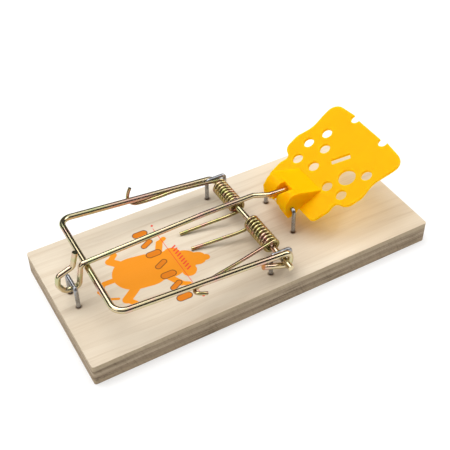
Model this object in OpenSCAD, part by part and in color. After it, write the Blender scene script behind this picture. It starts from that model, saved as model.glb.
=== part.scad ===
// Snap trap: plywood base, sprung wire hammer, lock bar and a moulded trigger pedal, shown set.
// Frame: +X runs towards the pedal end, +Y to the back, +Z up; the origin is the middle of the base's underside.

/* [Base board] */
// Length of the board
board_l = 178; // [150:1:200]
// Width of the board
board_w = 79.5; // [78:0.5:90]
// Thickness of each face ply, grain along the board
face_ply_t = 2.7; // [2:0.1:3]
// Thickness of each cross ply, grain across the board
cross_ply_t = 2.3; // [1.5:0.1:2.5]
// Thickness of the middle ply
core_ply_t = 1.5; // [1:0.1:2]
// Corner rounding of the board
board_corner_r = 1.2; // [0.5:0.1:3]

/* [Staples] */
// Diameter of the staple wire
staple_wire_d = 2.0; // [1.8:0.1:2.2]
// Depth of the staple legs in the board
staple_bite = 8.5; // [6:0.5:9]
// Bend radius of the staple corners, to the wire's centre line
staple_bend_r = 1.6; // [1.3:0.1:1.8]
// Distance between the legs of the lock bar staple
lock_staple_w = 10; // [9:0.5:12]
// Distance between the legs of an axle staple
axle_staple_w = 10.2; // [9:0.2:12]
// Distance between the legs of the trigger staple
trigger_staple_w = 25.2; // [24.8:0.2:27]

/* [Hammer] */
// Diameter of the hammer wire
hammer_wire_d = 3.0; // [2.8:0.1:3.1]
// Position of the axle along the board
axle_x = 9.6; // [8:0.2:12]
// Height of the axle's centre above the underside
axle_z = 20.5; // [20:0.1:22]
// Position of the crossbar along the board when set
crossbar_x = -72.5; // [-74:0.5:-70]
// Height of the crossbar's centre when set
crossbar_z = 29.7; // [28:0.1:30]
// Position of the rear arm
rear_arm_y = 33.9; // [33.4:0.1:35]
// Position of the front arm
front_arm_y = -33.4; // [-35:0.1:-33.3]
// Bend radius of the crossbar's corners
crossbar_bend_r = 5.5; // [4:0.5:8]

/* [Springs] */
// Diameter of the spring wire
spring_wire_d = 1.7; // [1.4:0.1:1.8]
// Mean radius of the coils
coil_r = 3.3; // [3.1:0.1:3.4]
// Whole turns in each coil, to which half a turn is added
coil_turns = 9; // [6:1:10]

/* [Lock bar] */
// Diameter of the lock bar wire
bar_wire_d = 2.6; // [2.4:0.1:2.7]
// Position of the lock bar across the board
bar_y = -1.2; // [-1.5:0.1:-0.9]

/* [Trigger] */
// Tilt of the pedal plate when set
pedal_tilt = 27.2; // [24:0.2:29]
// Thickness of the moulded sheet
pedal_t = 1.5; // [1.2:0.1:1.6]
// Distance of the plate's middle plane below the hinge
pedal_drop = 4.2; // [4:0.1:4.5]
// Position of the pedal's middle across the board
pedal_y = -0.7; // [-0.8:0.1:-0.6]

/* [Hidden] */
round_fn = 32;
board_t = 2 * face_ply_t + 2 * cross_ply_t + core_ply_t;
staple_r = staple_wire_d / 2;
hammer_r = hammer_wire_d / 2;
bar_r = bar_wire_d / 2;
spring_r = spring_wire_d / 2;
leg_hole_gap = 0.05;
join_overlap = 0.1;
join_step = 0.01;
running_gap = 0.1;

// Staples as [x, y of the middle, width, height of the crown's centre, true if the crown runs along Y]
lock_pivot = [-80.5, 0.15, 23.1];
axle_crown_z = axle_z + hammer_r + staple_r + 0.08;
trigger_hinge = [28.7, 0.5, 25.2];
rear_staple_y = 30.7;
front_staple_y = -30.6;
staples = [
    [lock_pivot.x, lock_pivot.y, lock_staple_w, lock_pivot.z, true],
    [axle_x, rear_staple_y, axle_staple_w, axle_crown_z, false],
    [axle_x, front_staple_y, axle_staple_w, axle_crown_z, false],
    [trigger_hinge.x, trigger_hinge.y, trigger_staple_w, trigger_hinge.z, true]
];

// Heights of the plies' lower faces, from the underside up
ply_z = [
    0,
    face_ply_t,
    face_ply_t + cross_ply_t,
    face_ply_t + cross_ply_t + core_ply_t,
    face_ply_t + 2 * cross_ply_t + core_ply_t
];

function unit(v) = v / norm(v);
function turn(a, b) = acos(max(-1, min(1, unit(a) * unit(b))));

// A round wire along points [x, y, z, bend radius], with true cylinders and true bends.
// Each straight run goes a little way into its bends, which are a hair thicker, so that all join as one solid.
module bent_wire(points, r) {
    last = len(points) - 1;
    place = [for (p = points) [p.x, p.y, p.z]];
    trim = [for (i = [0:last]) i == 0 || i == last ? 0
        : points[i][3] * tan(turn(place[i] - place[i - 1], place[i + 1] - place[i]) / 2) - join_overlap];
    for (i = [0:last - 1]) {
        dir = unit(place[i + 1] - place[i]);
        straight_run(place[i] + dir * trim[i], place[i + 1] - dir * trim[i + 1], r);
    }
    for (i = [1:last - 1]) {
        wire_bend(place[i], unit(place[i] - place[i - 1]), unit(place[i + 1] - place[i]), points[i][3], r + join_step);
    }
}

module straight_run(from, to, r) {
    d = to - from;
    translate(from)
        rotate([0, acos(d.z / norm(d)), atan2(d.y, d.x)])
            cylinder(h = norm(d), r = r, $fn = round_fn);
}

module wire_bend(corner, u, v, bend_r, r) {
    angle = turn(u, v);
    z_dir = unit(cross(u, v));
    x_dir = cross(u, z_dir);
    centre = corner - u * (bend_r * tan(angle / 2)) - x_dir * bend_r;
    multmatrix([
        [x_dir.x, u.x, z_dir.x, centre.x],
        [x_dir.y, u.y, z_dir.y, centre.y],
        [x_dir.z, u.z, z_dir.z, centre.z],
        [0, 0, 0, 1]
    ])
        rotate_extrude(angle = angle, $fn = 2 * round_fn)
            translate([bend_r, 0]) circle(r = r, $fn = round_fn);
}

// Points of a 2D outline [x, y, corner radius] with each corner turned into an arc
function rounded(points, steps = 6) = [
    for (i = [0:len(points) - 1])
        let (
            n = len(points),
            p = [points[i].x, points[i].y],
            a = unit([points[(i + n - 1) % n].x, points[(i + n - 1) % n].y] - p),
            b = unit([points[(i + 1) % n].x, points[(i + 1) % n].y] - p),
            half = acos(max(-1, min(1, a * b))) / 2,
            r = points[i].z,
            c = p + unit(a + b) * r / sin(half),
            start = p + a * r / tan(half) - c,
            side = a.x * b.y - a.y * b.x > 0 ? -1 : 1,
            sweep = side * (180 - 2 * half)
        )
        for (k = [0:steps])
            let (w = sweep * k / steps)
            c + [start.x * cos(w) - start.y * sin(w), start.x * sin(w) + start.y * cos(w)]
];

// Base board

module board_outline() {
    x = board_l / 2;
    y = board_w / 2;
    r = board_corner_r;
    polygon(rounded([[-x, -y, r], [x, -y, r], [x, y, r], [-x, y, r]]));
}

module staple_legs(grow = 0) {
    for (s = staples) {
        for (side = [-1, 1]) {
            along_y = s[4];
            translate([
                s[0] + (along_y ? 0 : side * s[2] / 2),
                s[1] + (along_y ? side * s[2] / 2 : 0),
                board_t - staple_bite - grow
            ])
                cylinder(h = staple_bite + 1, r = staple_r + grow, $fn = round_fn);
        }
    }
}

module ply(index, thickness) {
    difference() {
        translate([0, 0, ply_z[index]]) linear_extrude(thickness) board_outline();
        staple_legs(leg_hole_gap);
    }
}

module top_face_ply() { color("wheat") ply(4, face_ply_t); }
module upper_cross_ply() { color("tan") ply(3, cross_ply_t); }
module core_ply() { color("burlywood") ply(2, core_ply_t); }
module lower_cross_ply() { color("tan") ply(1, cross_ply_t); }
module bottom_face_ply() { color("wheat") ply(0, face_ply_t); }

// Staples

module staple(s) {
    half = s[2] / 2;
    point_h = 2;
    foot = board_t - staple_bite + point_h;
    translate([s[0], s[1], 0])
        rotate([0, 0, s[4] ? 90 : 0]) {
            bent_wire([
                [-half, 0, foot],
                [-half, 0, s[3], staple_bend_r],
                [half, 0, s[3], staple_bend_r],
                [half, 0, foot]
            ], staple_r);
            for (side = [-1, 1]) {
                translate([side * half, 0, foot - point_h])
                    cylinder(h = point_h, r1 = 0.25, r2 = staple_r, $fn = round_fn);
            }
        }
}

module lock_bar_staple() { color("silver") staple(staples[0]); }
module rear_axle_staple() { color("silver") staple(staples[1]); }
module front_axle_staple() { color("silver") staple(staples[2]); }
module trigger_staple() { color("silver") staple(staples[3]); }

// Hammer: axle, rear arm, crossbar, front arm and the eye that closes round the axle

module hammer() {
    eye_top = axle_z + 3.4;
    eye_right = axle_x + 3.4;
    color("darkkhaki")
        bent_wire([
            [axle_x, -board_w / 2 + 0.15, axle_z],
            [axle_x, rear_arm_y, axle_z, 3],
            [crossbar_x + 0.6, rear_arm_y, crossbar_z, crossbar_bend_r],
            [crossbar_x - 0.4, front_arm_y + 0.8, crossbar_z, crossbar_bend_r],
            [eye_right, front_arm_y, eye_top, 3.6],
            [eye_right, front_arm_y, axle_z - 5, 2.4],
            [axle_x - 11, front_arm_y, axle_z + 0.9]
        ], hammer_r);
}

// Torsion springs: a leg on the wood, the coil round the axle, and a leg hooked under the arm

ring_sides = 6;
ring_steps = 12;
leg_start = 10;

function coil_path(y_in, y_out) = [
    for (k = [0:ring_steps * coil_turns + ring_steps / 2])
        let (
            w = leg_start + (360 * coil_turns + 180 - leg_start) * k / (ring_steps * (coil_turns + 0.5)),
            t = k / (ring_steps * (coil_turns + 0.5))
        )
        [axle_x + coil_r * sin(w), y_in + (y_out - y_in) * t, axle_z - coil_r * cos(w)]
];

module swept_wire(path, r, sides) {
    n = len(path);
    tangents = [for (i = [0:n - 1]) unit(path[min(i + 1, n - 1)] - path[max(i - 1, 0)])];
    side_dirs = [
        for (i = 0, s = unit(cross(tangents[0], [0, 1, 0])); i < n;
            i = i + 1, s = i < n ? unit(s - tangents[i] * (s * tangents[i])) : s) s
    ];
    points = [for (i = [0:n - 1]) for (k = [0:sides - 1])
        path[i] + r * side_dirs[i] * cos(360 * k / sides)
            + r * cross(tangents[i], side_dirs[i]) * sin(360 * k / sides)];
    quads = [for (i = [0:n - 2]) for (k = [0:sides - 1])
        [i * sides + k, (i + 1) * sides + k, (i + 1) * sides + (k + 1) % sides, i * sides + (k + 1) % sides]];
    faces = concat(
        [[for (k = [0:sides - 1]) k]],
        quads,
        [[for (k = [sides - 1:-1:0]) (n - 1) * sides + k]]
    );
    polyhedron(points = points, faces = faces, convexity = 10);
}

module rear_spring() {
    y_in = 8.7;
    y_out = 27.4;
    color("olive")
        swept_wire(concat(
            [[-20, 13.5, board_t + spring_r + 0.1], [-6.5, 11.4, board_t + 2.9], [4, 9.4, board_t + 4.6]],
            coil_path(y_in, y_out),
            [
                [-12, 30.2, 24.6], [-22, 31.6, 23.5], [-31, 33.2, 22.7],
                [-34.5, 34.4, 22.9], [-36, 36.4, 24.5], [-35.4, 37, 27.5], [-34, 37.2, 30.4]
            ]
        ), spring_r, ring_sides);
}

module front_spring() {
    y_in = -3.6;
    y_out = -23.4;
    color("olive")
        swept_wire(concat(
            [[-20, 1.6, board_t + spring_r + 0.1], [-6.5, -1.2, board_t + 2.9], [4, -3.3, board_t + 4.6]],
            coil_path(y_in, y_out),
            [
                [-12, -28.2, 24.7], [-32, -31.7, 24.8], [-36.3, -33.4, 24.6],
                [-35.8, -35.9, 25.0], [-31.8, -36.9, 24.0]
            ]
        ), spring_r, ring_sides);
}

// Lock bar: the catch end, the long run over the crossbar, the loop round its staple and a short tail

module lock_bar() {
    color("darkkhaki")
        translate([0, bar_y, 0])
            bent_wire([
                [31.5, 0, 29.8],
                [21.2, 0, 30.6, 6],
                [12.3, 0, 34.0, 5],
                [-14, 0, 34.3, 60],
                [-75.3, 0, 32.5, 2.0],
                [-77.4, 0, 20.7, 2.3],
                [-84.2, 0, 20.4, 3],
                [-87.0, 0, 25.5, 3],
                [-86.2, 0, 30.5, 2.2],
                [-78.9, 0, 33.2, 2.2],
                [-76.8, 0, 40.8]
            ], bar_r);
}

// Trigger pedal: a flat holed plate, and a raised hinge housing whose roof catches the lock bar's end

plate_half = [
    [2.9, 19.7, 3],
    [12, 21.2, 6],
    [17.2, 19.9, 2.5],
    [19.2, 26.3, 5],
    [28, 27.5, 6],
    [36, 25.2, 14],
    [45, 26.9, 10],
    [53.6, 27.9, 5.5],
    [55.2, 12.6, 1.2],
    [54.4, 9.0, 1.0]
];
plate_outline = concat(
    [[54.4, -9.0, 1.0]],
    [for (i = [8:-1:0]) [plate_half[i].x, -plate_half[i].y, plate_half[i].z]],
    plate_half
);
hole_r = 2.75;
small_holes = [
    [19.7, 15.4], [29.4, 18.8], [22.5, 5.0], [32.6, 9.0],
    [39.0, 15.8], [36.8, -20.0], [20.0, -9.8], [21.7, -19.2]
];
large_hole = [29.7, -13.4];
large_hole_r = 4.4;
plate_shift = -0.4;
slot_size = [9.8, 3.1];
slot_at = [34.2, -2.5];
slot_turn = -27;
notch_at = [54.0, 11.0];
notch_r = 2.45;

housing_low = -10.4 - pedal_y;
housing_high = 9.7;
catch_r = 6.9;
bar_slot_half = 1.65;
// Opening in the plate under the housing
window_from = 2;
window_length = 13.4;
// How far the bar's slot reaches past the hinge; the roof beyond it holds the bar's end
bar_slot_reach = 2.5;
// The slot's front side flares outwards above this height over the hinge
flare_from = 4.9;
flare_to = 9.2;
flare_length = 10;
// Two cuts at the foot of the housing, which spread outwards as they go down
foot_cut_at = [-1, -0.4];
foot_cut_depth = 6;
foot_cut_width = [3.6, 8.4];
foot_cut_length = 4;

// Outer and inner faces of the housing sheet in the XZ plane, counted from the hinge
housing_outer = [[-2.2, -5.0], [-4.0, -1.4], [-4.4, 2.8], [-2.1, 6.9], [0.0, 8.3], [3.2, 8.4], [16.6, 4.6]];
housing_inner = [[15.9, 3.2], [8.0, 5.3], [1.2, 6.0], [-0.4, 5.4], [-2.9, 2.3], [-2.5, -1.2], [-0.7, -4.5]];
cheek_outline = concat(housing_outer, [[15.0, 2.5], [4.0, -1.6], [2.5, -3.5], [-0.6, -4.9]]);

module pedal_plate() {
    rotate([0, -pedal_tilt, 0])
        translate([0, 0, -pedal_drop - pedal_t / 2])
            linear_extrude(pedal_t)
                difference() {
                    translate([0, plate_shift]) polygon(rounded(plate_outline));
                    for (h = small_holes) {
                        translate(h) circle(r = hole_r, $fn = round_fn);
                    }
                    translate(large_hole) circle(r = large_hole_r, $fn = round_fn);
                    for (side = [-1, 1]) {
                        translate([notch_at.x, side * notch_at.y]) circle(r = notch_r, $fn = round_fn);
                    }
                    translate(slot_at) rotate(slot_turn) square(slot_size, center = true);
                    translate([window_from, housing_low + pedal_t / 2])
                        square([window_length, housing_high - housing_low - pedal_t]);
                }
}

// A profile in the XZ plane, drawn out along Y from one position to another
module along_y(from, to) {
    translate([0, to, 0]) rotate([90, 0, 0]) linear_extrude(to - from) children();
}

module hinge_housing() {
    along_y(housing_low, housing_high) polygon(concat(housing_outer, housing_inner));
    slot_y = bar_y - pedal_y;
    inner_cheeks = [slot_y - bar_slot_half - pedal_t, slot_y + bar_slot_half];
    for (y = concat([housing_low, housing_high - pedal_t], inner_cheeks)) {
        along_y(y, y + pedal_t) polygon(cheek_outline);
    }
}

module trigger_pedal() {
    slot_y = bar_y - pedal_y;
    reach = housing_high + 1;
    color("gold")
        translate([trigger_hinge.x, pedal_y, trigger_hinge.z])
            difference() {
                union() {
                    pedal_plate();
                    hinge_housing();
                }
                rotate([90, 0, 0])
                    cylinder(h = 4 * reach, r = staple_r + running_gap, center = true, $fn = round_fn);
                along_y(slot_y - bar_slot_half, slot_y + bar_slot_half) union() {
                    circle(r = catch_r, $fn = 2 * round_fn);
                    translate([bar_slot_reach - reach, -reach]) square([reach, 2 * reach]);
                }
                translate([bar_slot_reach - flare_length, slot_y, 0])
                    rotate([90, 0, 90]) linear_extrude(flare_length)
                        polygon([
                            [0, flare_from],
                            [-bar_slot_half, flare_from],
                            [-bar_slot_half - flare_to + flare_from, flare_to],
                            [0, flare_to]
                        ]);
                for (side = [-1, 1]) {
                    translate([foot_cut_at.x, slot_y, foot_cut_at.y])
                        rotate([0, -90, 0]) linear_extrude(foot_cut_length)
                            polygon([
                                [0, 0],
                                [0, side * foot_cut_width[0]],
                                [-foot_cut_depth, side * foot_cut_width[1]],
                                [-foot_cut_depth, 0]
                            ]);
                }
            }
}

top_face_ply();
upper_cross_ply();
core_ply();
lower_cross_ply();
bottom_face_ply();
hammer();
rear_spring();
front_spring();
lock_bar();
trigger_pedal();
lock_bar_staple();
rear_axle_staple();
front_axle_staple();
trigger_staple();
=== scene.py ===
import math
import bpy
from mathutils import Matrix, Vector


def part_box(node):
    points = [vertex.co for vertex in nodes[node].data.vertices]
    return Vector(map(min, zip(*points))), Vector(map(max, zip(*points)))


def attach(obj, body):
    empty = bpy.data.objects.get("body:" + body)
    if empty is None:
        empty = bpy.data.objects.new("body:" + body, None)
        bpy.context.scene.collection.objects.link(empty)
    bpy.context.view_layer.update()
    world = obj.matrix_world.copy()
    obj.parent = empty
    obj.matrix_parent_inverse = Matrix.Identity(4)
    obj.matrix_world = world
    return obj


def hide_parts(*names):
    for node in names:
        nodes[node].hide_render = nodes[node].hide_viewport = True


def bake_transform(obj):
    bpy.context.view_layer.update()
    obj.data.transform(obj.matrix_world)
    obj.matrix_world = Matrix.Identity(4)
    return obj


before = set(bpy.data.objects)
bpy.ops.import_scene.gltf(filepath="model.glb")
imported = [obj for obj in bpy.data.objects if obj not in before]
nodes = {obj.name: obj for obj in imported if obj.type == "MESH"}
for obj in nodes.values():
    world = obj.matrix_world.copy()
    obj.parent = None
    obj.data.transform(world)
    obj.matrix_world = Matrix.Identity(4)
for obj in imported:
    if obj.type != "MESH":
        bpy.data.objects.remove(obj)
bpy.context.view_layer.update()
mm = 0.001
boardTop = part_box("top_face_ply")[1].z
print("frame loaded,", len(nodes), "nodes")


# Camera
cameraSetup = {
    "location": (-0.14829, -0.26403, 0.30047),
    "azimuth": -28.932,
    "elevation": 42.815,
    "roll": -0.947,
    "lens": 69.13,
    "sensorWidth": 36,
    "clipStart": 0.01,
}


def addCamera(setup):
    az, el, roll = (math.radians(setup[k]) for k in ("azimuth", "elevation", "roll"))
    back = Vector((math.sin(az) * math.cos(el), -math.cos(az) * math.cos(el), math.sin(el)))
    right = Vector((math.cos(az), math.sin(az), 0))
    up = back.cross(right)
    across = math.cos(roll) * right + math.sin(roll) * up
    above = math.cos(roll) * up - math.sin(roll) * right
    bpy.ops.object.camera_add(location=setup["location"])
    cam = bpy.context.object
    cam.name = "viewCamera"
    cam.rotation_euler = Matrix((across, above, back)).transposed().to_euler()
    cam.data.lens = setup["lens"]
    cam.data.sensor_width = setup["sensorWidth"]
    cam.data.clip_start = setup["clipStart"]
    bpy.context.scene.camera = cam


addCamera(cameraSetup)
bpy.context.scene.view_settings.view_transform = "Standard"


# Node helpers
noiseSpan = (0.3, 0.7)  # where nearly all of a noise's values lie


def newMaterial(name):
    material = bpy.data.materials.new(name)
    material.use_nodes = True
    tree = material.node_tree
    return material, tree, tree.nodes["Principled BSDF"]


def newGroup(name, inputs, outputs):
    group = bpy.data.node_groups.new(name, "ShaderNodeTree")
    for label, kind, value in inputs:
        socket = group.interface.new_socket(name=label, in_out="INPUT", socket_type="NodeSocket" + kind)
        if value is not None:
            socket.default_value = value
    for label, kind in outputs:
        group.interface.new_socket(name=label, in_out="OUTPUT", socket_type="NodeSocket" + kind)
    return group, group.nodes.new("NodeGroupInput"), group.nodes.new("NodeGroupOutput")


def feed(tree, socket, value):
    # a value is another node's output, or a plain number, vector or colour
    if isinstance(value, bpy.types.NodeSocket):
        tree.links.new(value, socket)
    else:
        socket.default_value = value


def mathNode(tree, operation, a, b=0.0, clamp=False):
    n = tree.nodes.new("ShaderNodeMath")
    n.operation = operation
    n.use_clamp = clamp
    feed(tree, n.inputs[0], a)
    feed(tree, n.inputs[1], b)
    return n.outputs[0]


def centred(tree, noise, width):
    # noise about nought, this wide
    return mathNode(tree, "MULTIPLY", mathNode(tree, "SUBTRACT", noise, 0.5), width)


def vectorNode(tree, operation, a, b=(0, 0, 0)):
    n = tree.nodes.new("ShaderNodeVectorMath")
    n.operation = operation
    feed(tree, n.inputs[0], a)
    if operation == "SCALE":
        feed(tree, n.inputs["Scale"], b)
    elif operation != "LENGTH":
        feed(tree, n.inputs[1], b)
    return n.outputs["Value"] if operation in ("LENGTH", "DOT_PRODUCT") else n.outputs["Vector"]


def splitVector(tree, vector):
    n = tree.nodes.new("ShaderNodeSeparateXYZ")
    tree.links.new(vector, n.inputs[0])
    return n.outputs


def mixColor(tree, factor, a, b):
    n = tree.nodes.new("ShaderNodeMix")
    n.data_type = "RGBA"
    feed(tree, n.inputs["Factor"], factor)
    feed(tree, n.inputs[6], a)
    feed(tree, n.inputs[7], b)
    return n.outputs[2]


def rangeNode(tree, value, low, high, toLow=0.0, toHigh=1.0, smooth=False):
    n = tree.nodes.new("ShaderNodeMapRange")
    n.interpolation_type = "SMOOTHSTEP" if smooth else "LINEAR"
    feed(tree, n.inputs["Value"], value)
    feed(tree, n.inputs["From Min"], low)
    feed(tree, n.inputs["From Max"], high)
    feed(tree, n.inputs["To Min"], toLow)
    feed(tree, n.inputs["To Max"], toHigh)
    return n.outputs["Result"]


def noiseNode(tree, vector, scale=1.0, detail=3.0, roughness=0.5, distortion=0.0):
    n = tree.nodes.new("ShaderNodeTexNoise")
    feed(tree, n.inputs["Vector"], vector)
    feed(tree, n.inputs["Scale"], scale)
    feed(tree, n.inputs["Detail"], detail)
    feed(tree, n.inputs["Roughness"], roughness)
    feed(tree, n.inputs["Distortion"], distortion)
    return n.outputs["Fac"]


def stretched(tree, vector, scale=(1, 1, 1), move=(0, 0, 0), turn=(0, 0, 0)):
    n = tree.nodes.new("ShaderNodeMapping")
    feed(tree, n.inputs["Vector"], vector)
    n.inputs["Scale"].default_value = scale
    n.inputs["Location"].default_value = move
    n.inputs["Rotation"].default_value = turn
    return n.outputs["Vector"]


def figureNoise(tree, place, figure):
    spread = stretched(tree, place, figure["perMetre"], move=figure.get("move", (0, 0, 0)))
    return noiseNode(tree, spread, 1.0, figure["detail"], figure["roughness"], figure.get("distortion", 0.0))


def figureDark(tree, noise, figure):
    low, high, most = figure["dark"]
    return rangeNode(tree, noise, low, high, 0, most, True)


def objectPlace(tree):
    return tree.nodes.new("ShaderNodeTexCoord").outputs["Object"]


def useGroup(tree, group, **values):
    n = tree.nodes.new("ShaderNodeGroup")
    n.node_tree = group
    for key, v in values.items():
        feed(tree, n.inputs[key], v)
    return n.outputs


def bumpNode(tree, height, strength, distance):
    n = tree.nodes.new("ShaderNodeBump")
    n.inputs["Strength"].default_value = strength
    n.inputs["Distance"].default_value = distance
    tree.links.new(height, n.inputs["Height"])
    return n.outputs["Normal"]


def setMaterial(piece, material):
    piece.data.materials.clear()
    piece.data.materials.append(material)


# Floor and soft lights
studio = {
    "floorSize": 1.8,
    "floorDrop": 0.0002,
    "floorColor": (0.55, 0.55, 0.548, 1),
    "floorGlow": 0.42,
    "floorRough": 0.9,
    "floorSpecular": 0.1,
    "worldColor": (1.0, 1.0, 1.0, 1),
    "worldStrength": 1.3,
    "horizonStrength": 0.05,
    "brightFrom": (0.72, 0.88),
    "softboxes": [
        # name, place, aimed at, size, watts
        ("topSoftbox", (-0.25, 0.35, 0.95), (0.0, 0.0, 0.0), 0.9, 8.0),
        ("leftSoftbox", (-0.85, -0.15, 0.55), (0.0, 0.0, 0.02), 0.6, 2.0),
        ("rightSoftbox", (0.75, -0.10, 0.60), (0.0, 0.0, 0.02), 0.6, 4.0),
    ],
}

# Light that the thin pedal lets through onto the board
pedalGlow = {
    "color": (1.0, 0.72, 0.08),
    "size": (0.042, 0.046),
    "tilt": 27.2,
    "ahead": 0.003,
    "below": 0.003,
    "watts": 0.0045,
}


def addFloor(setup):
    bpy.ops.mesh.primitive_plane_add(size=setup["floorSize"], location=(0, 0, -setup["floorDrop"]))
    floor = bpy.context.object
    floor.name = "paleFloor"
    bpy.ops.object.transform_apply(location=True, rotation=True, scale=True)
    paper, tree, shader = newMaterial("palePaper")
    shader.inputs["Base Color"].default_value = setup["floorColor"]
    shader.inputs["Roughness"].default_value = setup["floorRough"]
    shader.inputs["Specular IOR Level"].default_value = setup["floorSpecular"]
    shader.inputs["Emission Color"].default_value = (1, 1, 1, 1)
    shader.inputs["Emission Strength"].default_value = setup["floorGlow"]
    setMaterial(floor, paper)


def addSoftboxes(softboxes):
    for name, place, aim, size, watts in softboxes:
        bpy.ops.object.light_add(type="AREA", location=place)
        lamp = bpy.context.object
        lamp.name = name
        lamp.data.size = size
        lamp.data.energy = watts
        lamp.rotation_euler = (Vector(place) - Vector(aim)).to_track_quat("Z", "Y").to_euler()


def addPedalGlow(glow):
    low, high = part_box("trigger_pedal")
    tilt = math.radians(glow["tilt"])
    down = Vector((math.sin(tilt), 0, -math.cos(tilt)))
    place = (low + high) / 2 + Vector((glow["ahead"], 0, 0)) + down * glow["below"]
    bpy.ops.object.light_add(type="AREA", location=place)
    lamp = bpy.context.object
    lamp.name = "pedalGlow"
    lamp.data.shape = "RECTANGLE"
    lamp.data.size, lamp.data.size_y = glow["size"]
    lamp.data.energy = glow["watts"]
    lamp.data.color = glow["color"]
    lamp.rotation_euler = (0, -tilt, 0)


def addWorld(setup):
    # a wide diffuser overhead and a dim room round it, which gives the wires their dark line
    world = bpy.data.worlds.new("softRoom")
    world.use_nodes = True
    tree = world.node_tree
    lightOut = tree.nodes["Background"]
    lightOut.inputs["Color"].default_value = setup["worldColor"]
    upward = splitVector(tree, tree.nodes.new("ShaderNodeTexCoord").outputs["Generated"])["Z"]
    low, high = setup["brightFrom"]
    room = rangeNode(tree, upward, low, high, setup["horizonStrength"], setup["worldStrength"], True)
    seen = tree.nodes.new("ShaderNodeLightPath").outputs["Is Camera Ray"]
    tree.links.new(mathNode(tree, "MAXIMUM", room, seen), lightOut.inputs["Strength"])
    bpy.context.scene.world = world


addFloor(studio)
addSoftboxes(studio["softboxes"])
addPedalGlow(pedalGlow)
addWorld(studio)
print("camera, floor and lights set")


# Wood grain on the faces, with long fibres along the first axis
woodFigure = {
    # dark: noise where it starts, noise where it is full, how dark
    "bend": {"perMetre": (13, 26, 26), "detail": 2.0, "roughness": 0.5},
    "bendWidth": 0.012,
    "cloud": {
        "perMetre": (14, 45, 45),
        "move": (3, 1, 0),
        "detail": 3.0,
        "roughness": 0.5,
        "dark": (0.43, 0.72, 0.60),
    },
    "rings": {"perMetre": (4, 52, 20), "move": (0.3, 0.9, 1.2), "dark": (0.55, 1.0, 0.38)},
    "ringWave": {
        "Scale": 1.0, "Distortion": 2.2, "Detail": 3.0, "Detail Scale": 0.8, "Detail Roughness": 0.55,
    },
    "broad": {"perMetre": (7, 150, 150), "detail": 2.5, "roughness": 0.55, "dark": (0.45, 0.78, 0.60)},
    "streak": {"perMetre": (22, 750, 750), "detail": 3.0, "roughness": 0.6, "dark": (0.52, 0.80, 0.65)},
    "fibre": {"perMetre": (110, 5200, 5200), "detail": 2.0, "roughness": 0.6},
    "fibreDark": (0.35, 0.75, -0.04, 0.10),
    "fibreHeight": 0.6,
    "streakHeight": -0.5,
}


def makeGrainGroup(figure):
    group, start, end = newGroup(
        "woodGrain",
        [
            ("Vector", "Vector", None),
            ("Pale", "Color", (0.8, 0.68, 0.5, 1)),
            ("Deep", "Color", (0.55, 0.4, 0.25, 1)),
            ("Streaks", "Float", 0.5),
        ],
        [("Color", "Color"), ("Height", "Float"), ("Fibre", "Float")],
    )
    place = start.outputs["Vector"]
    sideways = group.nodes.new("ShaderNodeCombineXYZ")
    bend = centred(group, figureNoise(group, place, figure["bend"]), figure["bendWidth"])
    group.links.new(bend, sideways.inputs["Y"])
    waved = vectorNode(group, "ADD", place, sideways.outputs[0])
    rings = group.nodes.new("ShaderNodeTexWave")
    rings.wave_type = "RINGS"
    rings.rings_direction = "X"
    rings.wave_profile = "SAW"
    for key, v in figure["ringWave"].items():
        rings.inputs[key].default_value = v
    ringPlace = stretched(group, waved, figure["rings"]["perMetre"], move=figure["rings"]["move"])
    group.links.new(ringPlace, rings.inputs["Vector"])
    cloud = figureNoise(group, place, figure["cloud"])
    broad = figureNoise(group, waved, figure["broad"])
    streak = figureNoise(group, waved, figure["streak"])
    fibre = figureNoise(group, place, figure["fibre"])
    dark = figureDark(group, broad, figure["broad"])
    dark = mathNode(group, "ADD", dark, figureDark(group, streak, figure["streak"]))
    dark = mathNode(group, "ADD", dark, figureDark(group, cloud, figure["cloud"]))
    dark = mathNode(group, "ADD", dark, figureDark(group, rings.outputs["Fac"], figure["rings"]))
    dark = mathNode(group, "MULTIPLY", dark, start.outputs["Streaks"])
    dark = mathNode(group, "ADD", dark, rangeNode(group, fibre, *figure["fibreDark"]), clamp=True)
    color = mixColor(group, dark, start.outputs["Pale"], start.outputs["Deep"])
    raised = mathNode(group, "MULTIPLY", fibre, figure["fibreHeight"])
    sunk = mathNode(group, "MULTIPLY", streak, figure["streakHeight"])
    group.links.new(color, end.inputs["Color"])
    group.links.new(mathNode(group, "ADD", raised, sunk), end.inputs["Height"])
    group.links.new(fibre, end.inputs["Fibre"])
    return group


# Torn pores, thin layers and slanted saw marks on a cut edge
sawnFigure = {
    "slant": (0, 0.35, 0.30),
    "saw": {"perMetre": (900, 900, 90), "detail": 3.0, "roughness": 0.65, "dark": (0.47, 0.72, 0.30)},
    "pores": {"perMetre": (1500, 1500, 700), "detail": 2.0, "roughness": 0.7, "dark": (0.50, 0.78, 0.40)},
    "layers": {
        "perMetre": (45, 45, 1500),
        "detail": 3.0,
        "roughness": 0.6,
        "distortion": 0.3,
        "dark": (0.48, 0.70, 0.75),
    },
    "patch": {"perMetre": (70, 70, 160), "detail": 3.0, "roughness": 0.6},
    "patchCoarse": (0.35, 0.7, -0.25, 0.35),
}


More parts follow.
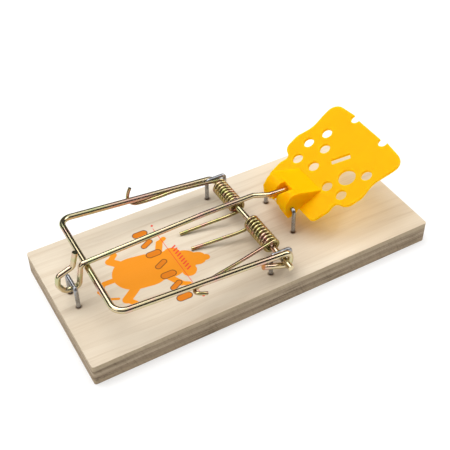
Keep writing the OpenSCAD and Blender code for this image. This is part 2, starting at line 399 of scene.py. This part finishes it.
def makeSawnGroup(figure):
    group, start, end = newGroup(
        "sawnEdge",
        [
            ("Vector", "Vector", None),
            ("Pale", "Color", (0.6, 0.45, 0.3, 1)),
            ("Deep", "Color", (0.2, 0.12, 0.07, 1)),
            ("Coarse", "Float", 0.5),
        ],
        [("Color", "Color"), ("Height", "Float")],
    )
    place = start.outputs["Vector"]
    slanted = stretched(group, place, turn=figure["slant"])
    dark = figureDark(group, figureNoise(group, slanted, figure["saw"]), figure["saw"])
    for key in ("pores", "layers"):
        noise = figureNoise(group, place, figure[key])
        dark = mathNode(group, "ADD", dark, figureDark(group, noise, figure[key]))
    patch = rangeNode(group, figureNoise(group, place, figure["patch"]), *figure["patchCoarse"])
    coarse = mathNode(group, "ADD", start.outputs["Coarse"], patch)
    dark = mathNode(group, "MULTIPLY", dark, coarse, clamp=True)
    color = mixColor(group, dark, start.outputs["Pale"], start.outputs["Deep"])
    group.links.new(color, end.inputs["Color"])
    group.links.new(mathNode(group, "SUBTRACT", 1.0, dark), end.inputs["Height"])
    return group


def makeCapsuleGroup():
    # distance of the place from a line between two points, less a radius
    group, start, end = newGroup(
        "capsuleField",
        [
            ("Place", "Vector", None),
            ("From", "Vector", (0, 0, 0)),
            ("To", "Vector", (0.001, 0, 0)),
            ("Radius", "Float", 0.001),
        ],
        [("Field", "Float")],
    )
    reach = vectorNode(group, "SUBTRACT", start.outputs["Place"], start.outputs["From"])
    span = vectorNode(group, "SUBTRACT", start.outputs["To"], start.outputs["From"])
    covered = vectorNode(group, "DOT_PRODUCT", reach, span)
    whole = vectorNode(group, "DOT_PRODUCT", span, span)
    along = mathNode(group, "DIVIDE", covered, whole, clamp=True)
    off = vectorNode(group, "SUBTRACT", reach, vectorNode(group, "SCALE", span, along))
    field = mathNode(group, "SUBTRACT", vectorNode(group, "LENGTH", off), start.outputs["Radius"])
    group.links.new(field, end.inputs["Field"])
    return group


# Soft patches and fine flecks for bare or plated wire
mottleFigure = {
    "patch": {"detail": 2.0, "roughness": 0.5, "distortion": 0.4},
    "second": {"detail": 3.0, "roughness": 0.6, "distortion": 0.8},
    "fleck": {"detail": 3.0, "roughness": 0.65},
    "secondMove": (0.31, 0.17, 0.53),
}


def makeMottleGroup(figure):
    group, start, end = newGroup(
        "platedMottle",
        [("Vector", "Vector", None), ("Patch", "Float", 140.0), ("Fleck", "Float", 1600.0)],
        [("Patches", "Float"), ("Second", "Float"), ("Flecks", "Float")],
    )
    place, patch, fleck = (start.outputs[k] for k in ("Vector", "Patch", "Fleck"))
    moved = vectorNode(group, "ADD", place, figure["secondMove"])
    group.links.new(noiseNode(group, place, patch, **figure["patch"]), end.inputs["Patches"])
    group.links.new(noiseNode(group, moved, patch, **figure["second"]), end.inputs["Second"])
    group.links.new(noiseNode(group, moved, fleck, **figure["fleck"]), end.inputs["Flecks"])
    return group


grainGroup = makeGrainGroup(woodFigure)
sawnGroup = makeSawnGroup(sawnFigure)
capsuleGroup = makeCapsuleGroup()
mottleGroup = makeMottleGroup(mottleFigure)


# Generic print on the board, in mm: a mouse from above, a row of plain outlined shapes and a dashed line
printArt = {
    "mouse": [
        # from, to, radius
        ((-50, 1.5), (-44, 0.5), 10.5), ((-44, 0.5), (-34, -1.0), 9.0), ((-34, -1.0), (-26, -2.5), 6.6),
        ((-26, -2.5), (-20, -4.5), 4.2), ((-20, -4.5), (-16.2, -5.8), 2.0),
        ((-28.5, 4.6), (-29.3, 5.2), 3.3), ((-26.5, -9.3), (-27.2, -10.0), 3.3),
        ((-35, 7), (-31, 14.0), 1.7), ((-31, 14.0), (-28, 15.6), 1.3),
        ((-37, -9), (-34, -15.0), 1.7), ((-34, -15.0), (-31, -17.0), 1.3),
        ((-52, 8), (-57, 14.0), 2.2), ((-57, 14.0), (-53.5, 17.2), 1.5),
        ((-53, -7), (-60, -12.0), 2.2), ((-60, -12.0), (-57.5, -15.6), 1.5),
        ((-59, 2.0), (-65, 2.2), 1.5), ((-65, 2.2), (-69, -1.5), 1.1),
        ((-69, -1.5), (-68, -7.0), 0.9), ((-68, -7.0), (-63, -9.5), 0.7),
    ],
    "rowX": -36.6,
    "rowY": [24.0, 16.2, 8.6, 0.6, -7.2, -15.0, -23.2],
    "shapeHalf": 1.9,
    "shapeRadius": (2.1, 1.6),  # straight and leaning shapes take turns
    "outline": 0.42,
    "lineX": -29.3,
    "lineY": (26.5, -27.0),
    "lineGap": 2,
    "lineRadius": 0.16,
    "dotRadius": 0.6,
    "dotShift": 0.4,
    "dotLength": 0.1,
    "dashX": -26.4,
    "dashFromY": 8.0,
    "dashStep": 2.0,
    "dashes": 9,
    "dashHalf": (1.0, 0.5),
    "dashRadius": 0.42,
    "soft": 0.10,
    "cover": {"mouse": 0.975, "red": 0.95, "edge": 0.95, "fill": 0.95},
    "orange": (0.76, 0.25, 0.0, 1),
    "rowFill": (0.66, 0.185, 0.006, 1),
    "rowEdge": (0.12, 0.045, 0.012, 1),
    "red": (0.72, 0.05, 0.025, 1),
}


def capsule(tree, place, a, b, radius):
    ends = {"From": (a[0] * mm, a[1] * mm, 0), "To": (b[0] * mm, b[1] * mm, 0)}
    return useGroup(tree, capsuleGroup, Place=place, Radius=radius * mm, **ends)["Field"]


def joinFields(tree, fields):
    found = fields[0]
    for f in fields[1:]:
        found = mathNode(tree, "MINIMUM", found, f)
    return found


def rowField(tree, flat, art):
    shapes = []
    for k, y in enumerate(art["rowY"]):
        half = art["shapeHalf"]
        lean = half / 2 if k % 2 else 0.0
        a = (art["rowX"] - half, y - lean)
        b = (art["rowX"] + half, y + lean)
        shapes.append(capsule(tree, flat, a, b, art["shapeRadius"][k % 2]))
    return joinFields(tree, shapes)


def redField(tree, flat, art):
    x, lineX = art["dashX"], art["lineX"]
    halfX, halfY = art["dashHalf"]
    marks = []
    for k in range(art["dashes"]):
        y = art["dashFromY"] - art["dashStep"] * k
        marks.append(capsule(tree, flat, (x - halfX, y - halfY), (x + halfX, y + halfY), art["dashRadius"]))
    for y in art["lineY"]:
        a = (lineX + art["dotShift"], y)
        b = (a[0] + art["dotLength"], y + art["dotLength"])
        marks.append(capsule(tree, flat, a, b, art["dotRadius"]))
    top = (lineX, art["lineY"][0] - art["lineGap"])
    foot = (lineX, art["lineY"][1] + art["lineGap"])
    marks.append(capsule(tree, flat, top, foot, art["lineRadius"]))
    return joinFields(tree, marks)


def makePrintGroup(art):
    group, start, end = newGroup(
        "boardPrint",
        [("Vector", "Vector", None), ("Bare", "Color", (0.8, 0.7, 0.5, 1)), ("Bleed", "Float", 0.0)],
        [("Color", "Color")],
    )
    flat = vectorNode(group, "MULTIPLY", start.outputs["Vector"], (1, 1, 0))
    bleed = start.outputs["Bleed"]
    soft = art["soft"] * mm

    def inked(field, cover):
        mask = rangeNode(group, mathNode(group, "ADD", field, bleed), -soft, soft, 1.0, 0.0)
        return mathNode(group, "MULTIPLY", mask, cover)

    cover = art["cover"]
    mouse = joinFields(group, [capsule(group, flat, a, b, r) for a, b, r in art["mouse"]])
    row = rowField(group, flat, art)
    inside = mathNode(group, "ADD", row, art["outline"] * mm)
    color = mixColor(group, inked(mouse, cover["mouse"]), start.outputs["Bare"], art["orange"])
    color = mixColor(group, inked(redField(group, flat, art), cover["red"]), color, art["red"])
    color = mixColor(group, inked(row, cover["edge"]), color, art["rowEdge"])
    color = mixColor(group, inked(inside, cover["fill"]), color, art["rowFill"])
    group.links.new(color, end.inputs["Color"])
    return group


printGroup = makePrintGroup(printArt)
print("shared node groups made")


# Wood
wood = {
    "facePale": (0.68, 0.592, 0.468, 1),
    "faceDeep": (0.47, 0.355, 0.235, 1),
    "streaks": 0.50,
    # one dark colour for the darker wood round each staple's leg and for the painted shade along the bottom
    # of the sawn edge
    "legRingAndBottomShade": (0.20, 0.125, 0.07, 1),
    "legRingRadius": 1.15,  # round each staple's leg, in mm
    "legRingFade": 0.8,
    "legRingCover": 0.75,
    "legRingRagged": 0.6,
    "printRagged": 0.3,
    "bottomShadeRagged": 1.2,  # painted shade: the dark lower rim of the sawn edge, in mm
    "bottomShadeFade": (0.1, 1.0),
    "bottomShadeCover": 0.8,
    "flatFrom": (0.45, 0.8),
    "relief": (1.6, 0.35),  # on the sawn edge and on the face
    "bump": (0.5, 0.0004),
    "rough": (0.58, 0.74),
    "specular": 0.16,
    "joinWithin": 0.002,
    "edgeRound": 0.08,
    "roundAbove": 50,
    "laidAcross": ("upper_cross_ply", "lower_cross_ply"),
    "printedPly": "top_face_ply",
    "plies": {
        # node: name, pale and deep colour of its sawn edge, how coarse the saw tore it
        "top_face_ply": ("topFaceWood", (0.54, 0.43, 0.29, 1), (0.28, 0.20, 0.12, 1), 0.50),
        "upper_cross_ply": ("upperCrossWood", (0.42, 0.325, 0.22, 1), (0.19, 0.135, 0.082, 1), 0.80),
        "core_ply": ("coreWood", (0.52, 0.41, 0.285, 1), (0.22, 0.155, 0.095, 1), 0.65),
        "lower_cross_ply": ("lowerCrossWood", (0.38, 0.285, 0.19, 1), (0.15, 0.105, 0.063, 1), 0.90),
        "bottom_face_ply": ("bottomFaceWood", (0.44, 0.335, 0.22, 1), (0.17, 0.12, 0.07, 1), 0.80),
    },
}


def stapleFeet():
    feet = []
    for name in ("lock_bar_staple", "rear_axle_staple", "front_axle_staple", "trigger_staple"):
        low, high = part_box(name)
        middle = (low + high) / 2
        if high.x - low.x > high.y - low.y:
            feet += [(low.x + mm, middle.y), (high.x - mm, middle.y)]
        else:
            feet += [(middle.x, low.y + mm), (middle.x, high.y - mm)]
    return feet


def legRingsAndPrint(tree, place, color, fibre, setup):
    # dark wood round the staples' legs, and the print, both ragged along the fibres
    flat = vectorNode(tree, "MULTIPLY", place, (1, 1, 0))
    feet = []
    for x, y in stapleFeet():
        x, y = x / mm, y / mm
        feet.append(capsule(tree, flat, (x, y), (x + 0.05, y), setup["legRingRadius"]))
    torn = mathNode(tree, "ADD", joinFields(tree, feet), centred(tree, fibre, setup["legRingRagged"] * mm))
    # the wood is darker in a ragged ring round each staple's leg
    legRing = rangeNode(tree, torn, 0.0, setup["legRingFade"] * mm, setup["legRingCover"], 0.0, True)
    bare = mixColor(tree, legRing, color, setup["legRingAndBottomShade"])
    bleed = centred(tree, fibre, setup["printRagged"] * mm)
    return useGroup(tree, printGroup, Vector=place, Bare=bare, Bleed=bleed)["Color"]


def makePlyMaterial(node, setup):
    name, pale, deep, coarse = setup["plies"][node]
    material, tree, shader = newMaterial(name)
    place = objectPlace(tree)
    facing = splitVector(tree, tree.nodes.new("ShaderNodeNewGeometry").outputs["Normal"])["Z"]
    flatFace = rangeNode(tree, mathNode(tree, "ABSOLUTE", facing), *setup["flatFrom"])
    along = stretched(tree, place, turn=(0, 0, math.pi / 2 if node in setup["laidAcross"] else 0))
    faceLook = {"Pale": setup["facePale"], "Deep": setup["faceDeep"], "Streaks": setup["streaks"]}
    face = useGroup(tree, grainGroup, Vector=along, **faceLook)
    sawn = useGroup(tree, sawnGroup, Vector=place, Pale=pale, Deep=deep, Coarse=coarse)
    # painted shade: the sawn edge turns dark towards its bottom rim, a painted shadow line where the board
    # meets the floor
    ragged = centred(tree, sawn["Height"], setup["bottomShadeRagged"] * mm)
    rim = mathNode(tree, "ADD", splitVector(tree, place)["Z"], ragged)
    low, high = (v * mm for v in setup["bottomShadeFade"])
    bottomShade = rangeNode(tree, rim, low, high, setup["bottomShadeCover"], 0.0, True)
    edgeColor = mixColor(tree, bottomShade, sawn["Color"], setup["legRingAndBottomShade"])
    faceColor = face["Color"]
    if node == setup["printedPly"]:
        faceColor = legRingsAndPrint(tree, place, faceColor, face["Fibre"], setup)
    tree.links.new(mixColor(tree, flatFace, edgeColor, faceColor), shader.inputs["Base Color"])
    edgeRelief, faceRelief = setup["relief"]
    relief = tree.nodes.new("ShaderNodeMix")
    tree.links.new(flatFace, relief.inputs["Factor"])
    tree.links.new(mathNode(tree, "MULTIPLY", sawn["Height"], edgeRelief), relief.inputs[2])
    tree.links.new(mathNode(tree, "MULTIPLY", face["Height"], faceRelief), relief.inputs[3])
    tree.links.new(bumpNode(tree, relief.outputs[0], *setup["bump"]), shader.inputs["Normal"])
    tree.links.new(rangeNode(tree, face["Fibre"], *noiseSpan, *setup["rough"]), shader.inputs["Roughness"])
    shader.inputs["Specular IOR Level"].default_value = setup["specular"]
    return material


def finishPly(node, setup):
    setMaterial(nodes[node], makePlyMaterial(node, setup))
    joined = nodes[node].modifiers.new("joined", "WELD")
    joined.merge_threshold = setup["joinWithin"] * mm
    softened = nodes[node].modifiers.new("softEdges", "BEVEL")
    softened.width = setup["edgeRound"] * mm
    softened.segments = 2
    softened.limit_method = "ANGLE"
    softened.angle_limit = math.radians(setup["roundAbove"])


for ply in wood["plies"]:
    finishPly(ply, wood)
print("board plies finished")


# Wire finishes: the hammer's and lock bar's, the springs', and the staples'
wireFinish = {
    "passivated": {
        "gold": (0.60, 0.50, 0.31, 1),
        "pink": (0.62, 0.39, 0.32, 1),
        "green": (0.45, 0.48, 0.25, 1),
        "dark": (0.30, 0.24, 0.15, 1),
        "rough": (0.14, 0.25),
        "patch": 95.0,
    },
    "spring": {
        "gold": (0.43, 0.355, 0.165, 1),
        "pink": (0.46, 0.265, 0.205, 1),
        "green": (0.31, 0.345, 0.115, 1),
        "dark": (0.17, 0.13, 0.07, 1),
        "rough": (0.12, 0.24),
        "patch": 240.0,
    },
    "staple": {
        "gold": (0.36, 0.365, 0.38, 1),
        "pink": (0.28, 0.275, 0.28, 1),
        "green": (0.46, 0.47, 0.50, 1),
        "dark": (0.12, 0.10, 0.085, 1),
        "rough": (0.20, 0.36),
        "patch": 260.0,
    },
}
wireTints = {
    "fleck": 2600.0,
    "pinkFrom": (0.46, 0.66, 0, 1),
    "greenFrom": (0.50, 0.68, 0, 0.85),
    "darkFrom": (0.60, 0.78, 0, 0.45),
    "bump": (0.05, 0.00005),
}
stapleRust = {
    "color": (0.085, 0.045, 0.025, 1),
    "above": (0.2, 1.9),  # full and gone, in mm over the board
    "ragged": 4.0,
    "cover": 0.9,
    "rougher": 0.35,
}


def makeWireMaterial(name, finish, tints, rust=None):
    material, tree, shader = newMaterial(name)
    place = objectPlace(tree)
    mottle = useGroup(tree, mottleGroup, Vector=place, Patch=finish["patch"], Fleck=tints["fleck"])
    pink = rangeNode(tree, mottle["Patches"], *tints["pinkFrom"], True)
    green = rangeNode(tree, mottle["Second"], *tints["greenFrom"], True)
    dark = rangeNode(tree, mottle["Flecks"], *tints["darkFrom"], True)
    color = mixColor(tree, pink, finish["gold"], finish["pink"])
    color = mixColor(tree, green, color, finish["green"])
    color = mixColor(tree, dark, color, finish["dark"])
    rough = rangeNode(tree, mottle["Flecks"], *noiseSpan, *finish["rough"])
    if rust:
        ragged = centred(tree, mottle["Second"], rust["ragged"] * mm)
        height = mathNode(tree, "ADD", splitVector(tree, place)["Z"], ragged)
        low, high = (boardTop + v * mm for v in rust["above"])
        rusted = rangeNode(tree, height, low, high, rust["cover"], 0.0, True)
        color = mixColor(tree, rusted, color, rust["color"])
        rough = mathNode(tree, "ADD", rough, mathNode(tree, "MULTIPLY", rusted, rust["rougher"]), clamp=True)
    tree.links.new(color, shader.inputs["Base Color"])
    tree.links.new(rough, shader.inputs["Roughness"])
    tree.links.new(bumpNode(tree, mottle["Flecks"], *tints["bump"]), shader.inputs["Normal"])
    shader.inputs["Metallic"].default_value = 1.0
    return material


passivated = makeWireMaterial("passivatedWire", wireFinish["passivated"], wireTints)
springFinish = makeWireMaterial("springWire", wireFinish["spring"], wireTints)
stapleFinish = makeWireMaterial("stapleWire", wireFinish["staple"], wireTints, stapleRust)
for staple in ("lock_bar_staple", "rear_axle_staple", "front_axle_staple", "trigger_staple"):
    setMaterial(nodes[staple], stapleFinish)


# Wires drawn along a path, in mm
def rounded(points, steps=10):
    # each corner [x, y, z, bend radius] becomes an arc
    path = [Vector(points[0][:3])]
    for before, corner, after in zip(points, points[1:], points[2:]):
        p = Vector(corner[:3])
        a = (Vector(before[:3]) - p).normalized()
        b = (Vector(after[:3]) - p).normalized()
        half = a.angle(b) / 2
        middle = p + (a + b).normalized() * (corner[3] / math.sin(half))
        start = p + a * (corner[3] / math.tan(half)) - middle
        stop = p + b * (corner[3] / math.tan(half)) - middle
        sweep = math.pi - 2 * half
        for k in range(steps + 1):
            t = k / steps
            swung = start * math.sin((1 - t) * sweep) + stop * math.sin(t * sweep)
            path.append(middle + swung / math.sin(sweep))
    path.append(Vector(points[-1][:3]))
    return path


def drawWire(name, path, radius, material, ring=5, cutBevel=0.25):
    bpy.ops.object.select_all(action="DESELECT")
    bpy.ops.curve.primitive_nurbs_path_add(location=(0, 0, 0))
    wire = bpy.context.object
    wire.name = name
    wire.data.splines.clear()
    spline = wire.data.splines.new("POLY")
    spline.points.add(len(path) - 1)
    for point, p in zip(spline.points, path):
        point.co = (p.x * mm, p.y * mm, p.z * mm, 1)
    spline.use_smooth = True
    wire.data.bevel_depth = radius * mm
    wire.data.bevel_resolution = ring
    wire.data.use_fill_caps = True
    bpy.ops.object.convert(target="MESH")
    wire = bpy.context.object
    bpy.ops.object.mode_set(mode="EDIT")
    bpy.ops.mesh.select_all(action="SELECT")
    bpy.ops.mesh.remove_doubles(threshold=0.000001)
    bpy.ops.mesh.normals_make_consistent(inside=False)
    bpy.ops.mesh.select_all(action="DESELECT")
    bpy.ops.object.mode_set(mode="OBJECT")
    # the sheared ends are the only faces with many sides
    for face in wire.data.polygons:
        face.select = len(face.vertices) > 4
    bpy.ops.object.mode_set(mode="EDIT")
    bpy.ops.mesh.select_mode(type="FACE")
    bpy.ops.mesh.bevel(offset=cutBevel * mm, segments=2, affect="EDGES")
    bpy.ops.object.mode_set(mode="OBJECT")
    bpy.ops.object.shade_smooth_by_angle(angle=math.radians(40))
    setMaterial(wire, material)
    return wire


axle = {"x": 9.6, "z": 20.5}
hammerWire = {
    "radius": 1.5,
    "axleEndY": -39.6,
    "crossbarX": -72.5,
    "crossbarZ": 29.7,
    "crossbarSkew": (0.6, -0.4, 0.8),  # how far its two corners are out of square
    "rearY": 33.9,
    "frontY": -33.4,
    "axleBend": 3,
    "bend": 5.5,
    "hookRight": 3.4,
    "hookUp": 3.4,
    "hookDown": 5,
    "hookBends": (3.6, 2.4),
    "tailBack": 11,
    "tailUp": 0.9,
}


def buildHammer(size):
    right = axle["x"] + size["hookRight"]
    rearSkew, frontSkew, frontIn = size["crossbarSkew"]
    upperBend, lowerBend = size["hookBends"]
    path = rounded([
        (axle["x"], size["axleEndY"], axle["z"]),
        (axle["x"], size["rearY"], axle["z"], size["axleBend"]),
        (size["crossbarX"] + rearSkew, size["rearY"], size["crossbarZ"], size["bend"]),
        (size["crossbarX"] + frontSkew, size["frontY"] + frontIn, size["crossbarZ"], size["bend"]),
        (right, size["frontY"], axle["z"] + size["hookUp"], upperBend),
        (right, size["frontY"], axle["z"] - size["hookDown"], lowerBend),
        (axle["x"] - size["tailBack"], size["frontY"], axle["z"] + size["tailUp"]),
    ])
    piece = drawWire("hammerWire", path, size["radius"], passivated, ring=6, cutBevel=0.3)
    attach(piece, "hammer")
    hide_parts("hammer")


buildHammer(hammerWire)

lockBarWire = {
    "radius": 1.3,
    "y": -1.2,
    "path": [
        # x, z, bend radius, from the catch end to the tail past the staple
        (31.5, 29.8), (21.2, 30.6, 6), (12.3, 34.0, 5), (-14, 34.3, 60),
        (-75.3, 32.5, 2.0), (-77.4, 20.7, 2.3), (-84.2, 20.4, 3), (-87.0, 25.5, 3),
        (-86.2, 30.5, 2.2), (-78.9, 33.2, 2.2), (-76.8, 40.8),
    ],
}


def buildLockBar(size):
    path = rounded([(p[0], size["y"], p[1]) + tuple(p[2:]) for p in size["path"]])
    piece = drawWire("lockBarWire", path, size["radius"], passivated, ring=6, cutBevel=0.3)
    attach(piece, "lock_bar")
    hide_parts("lock_bar")


buildLockBar(lockBarWire)

springWire = {
    "radius": 0.85,
    "coil": 3.3,
    "turns": 9.5,
    "firstAngle": 10,
    "stepsPerTurn": 32,
    "legSteps": 8,
    "rear": {
        "from": 8.7,
        "to": 27.4,
        "still": 13.6,
        "inner": [(-20, 13.5, 12.45), (-6.5, 11.4, 14.4), (4, 9.4, 16.1)],
        "outer": [
            (-12, 30.2, 24.6), (-22, 31.6, 23.5), (-31, 33.2, 22.7), (-34.5, 34.4, 22.9),
            (-36, 36.4, 24.5), (-35.4, 37, 27.5), (-34, 37.2, 30.4),
        ],
    },
    "front": {
        "from": -3.6,
        "to": -23.4,
        "still": -3.6,
        "inner": [(-20, 1.6, 12.45), (-6.5, -1.2, 14.4), (4, -3.3, 16.1)],
        "outer": [
            (-12, -28.2, 24.7), (-32, -31.7, 24.8), (-36.3, -33.4, 24.6),
            (-35.8, -35.9, 25.0), (-31.8, -36.9, 24.0),
        ],
    },
}


def smoothed(points, steps):
    # a curve through every point, easing in and out of the coil
    path = []
    for i in range(len(points) - 1):
        p0 = points[max(i - 1, 0)]
        p1, p2 = points[i], points[i + 1]
        p3 = points[min(i + 2, len(points) - 1)]
        for k in range(steps):
            t = k / steps
            straight = 2 * p1 + (p2 - p0) * t
            curved = (2 * p0 - 5 * p1 + 4 * p2 - p3) * t * t + (3 * p1 - p0 - 3 * p2 + p3) * t * t * t
            path.append(0.5 * (straight + curved))
    path.append(points[-1])
    return path


def buildSpring(name, node, side, size):
    turns = size["turns"]
    first = size["firstAngle"] / 360
    count = round(turns * size["stepsPerTurn"])
    coil = []
    for k in range(count + 1):
        w = 2 * math.pi * (first + (turns - first) * k / count)
        y = side["from"] + (side["to"] - side["from"]) * k / count
        x = axle["x"] + size["coil"] * math.sin(w)
        z = axle["z"] - size["coil"] * math.cos(w)
        coil.append(Vector((x, y, z)))
    inner = [Vector(p) for p in side["inner"]]
    outer = [Vector(p) for p in side["outer"]]
    boardLeg = smoothed(inner + coil[:1], size["legSteps"])[:-1]
    hammerLeg = smoothed(coil[-1:] + outer, size["legSteps"])[1:]
    piece = drawWire(name, boardLeg + coil + hammerLeg, size["radius"], springFinish, ring=4, cutBevel=0.15)
    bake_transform(piece)
    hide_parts(node)


buildSpring("rearSpringCoil", "rear_spring", springWire["rear"], springWire)
buildSpring("frontSpringCoil", "front_spring", springWire["front"], springWire)
print("wires drawn")


# Pedal
pedalFinish = {
    "yellow": (0.68, 0.385, 0.0, 1),
    "orange": (0.90, 0.38, 0.0, 1),
    "cloud": (90.0, 2.0, 0.5),
    "grain": (1800.0, 3.0, 0.6),
    "housingShadeEnds": (0.026, 0.042),  # painted shade along X: deep colour up to the first, none past the second
    "housingShadeRagged": 0.016,
    "housingShadeDeep": 0.55,
    "cloudDeep": 0.16,
    "rough": (0.44, 0.56),
    "bump": (0.10, 0.00008),
    "scatter": 0.9,
    "scatterRadius": (1.0, 0.45, 0.05),
    "scatterScale": 0.009,
    # painted light: an orange glow in the plastic, standing in for light passing through it
    "glow": (1.0, 0.36, 0.0, 1),
    "paintedGlowStrength": 0.11,
    "specular": 0.05,
    "edgeRound": 0.3,
    "roundAbove": 35,
    "smoothBelow": 40,
}


def makePedalMaterial(finish):
    material, tree, shader = newMaterial("pedalPlastic")
    place = objectPlace(tree)
    cloud = noiseNode(tree, place, *finish["cloud"])
    grain = noiseNode(tree, place, *finish["grain"])
    # painted shade: the plastic turns deep orange towards the hinge housing, standing in for its shaded
    # walls
    ragged = centred(tree, cloud, finish["housingShadeRagged"])
    near = mathNode(tree, "SUBTRACT", splitVector(tree, place)["X"], ragged)
    housingShade = rangeNode(tree, near, *finish["housingShadeEnds"], finish["housingShadeDeep"], 0.0, True)
    color = mixColor(tree, housingShade, finish["yellow"], finish["orange"])
    clouded = rangeNode(tree, cloud, *noiseSpan, 0.0, finish["cloudDeep"])
    color = mixColor(tree, clouded, color, finish["orange"])
    tree.links.new(color, shader.inputs["Base Color"])
    tree.links.new(rangeNode(tree, grain, *noiseSpan, *finish["rough"]), shader.inputs["Roughness"])
    tree.links.new(bumpNode(tree, grain, *finish["bump"]), shader.inputs["Normal"])
    shader.inputs["Subsurface Weight"].default_value = finish["scatter"]
    shader.inputs["Subsurface Radius"].default_value = finish["scatterRadius"]
    shader.inputs["Subsurface Scale"].default_value = finish["scatterScale"]
    # painted light: orange emission that lifts the shaded parts of the plastic
    shader.inputs["Emission Color"].default_value = finish["glow"]
    shader.inputs["Emission Strength"].default_value = finish["paintedGlowStrength"]
    shader.inputs["Specular IOR Level"].default_value = finish["specular"]
    return material


def buildPedal(finish):
    bpy.ops.object.select_all(action="DESELECT")
    source = nodes["trigger_pedal"]
    piece = source.copy()
    piece.data = source.data.copy()
    for key in list(piece.keys()):
        del piece[key]
    piece.parent = None
    piece.name = "pedalMoulding"
    bpy.context.scene.collection.objects.link(piece)
    bpy.context.view_layer.objects.active = piece
    piece.select_set(True)
    bpy.ops.object.mode_set(mode="EDIT")
    bpy.ops.mesh.select_all(action="SELECT")
    bpy.ops.mesh.remove_doubles(threshold=0.000002)
    bpy.ops.mesh.dissolve_limited(angle_limit=math.radians(0.5))
    bpy.ops.object.mode_set(mode="OBJECT")
    bevel = piece.modifiers.new("softEdges", "BEVEL")
    bevel.width = finish["edgeRound"] * mm
    bevel.segments = 2
    bevel.limit_method = "ANGLE"
    bevel.angle_limit = math.radians(finish["roundAbove"])
    bpy.ops.object.modifier_apply(modifier="softEdges")
    bpy.ops.object.shade_smooth_by_angle(angle=math.radians(finish["smoothBelow"]))
    # wide flat faces keep their own normals, and only the rounded edges turn
    weighted = piece.modifiers.new("flatFaces", "WEIGHTED_NORMAL")
    weighted.weight = 100
    weighted.keep_sharp = True
    bpy.ops.object.modifier_apply(modifier="flatFaces")
    setMaterial(piece, makePedalMaterial(finish))
    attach(piece, "pedal")
    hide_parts("trigger_pedal")


buildPedal(pedalFinish)
print("pedal finished")
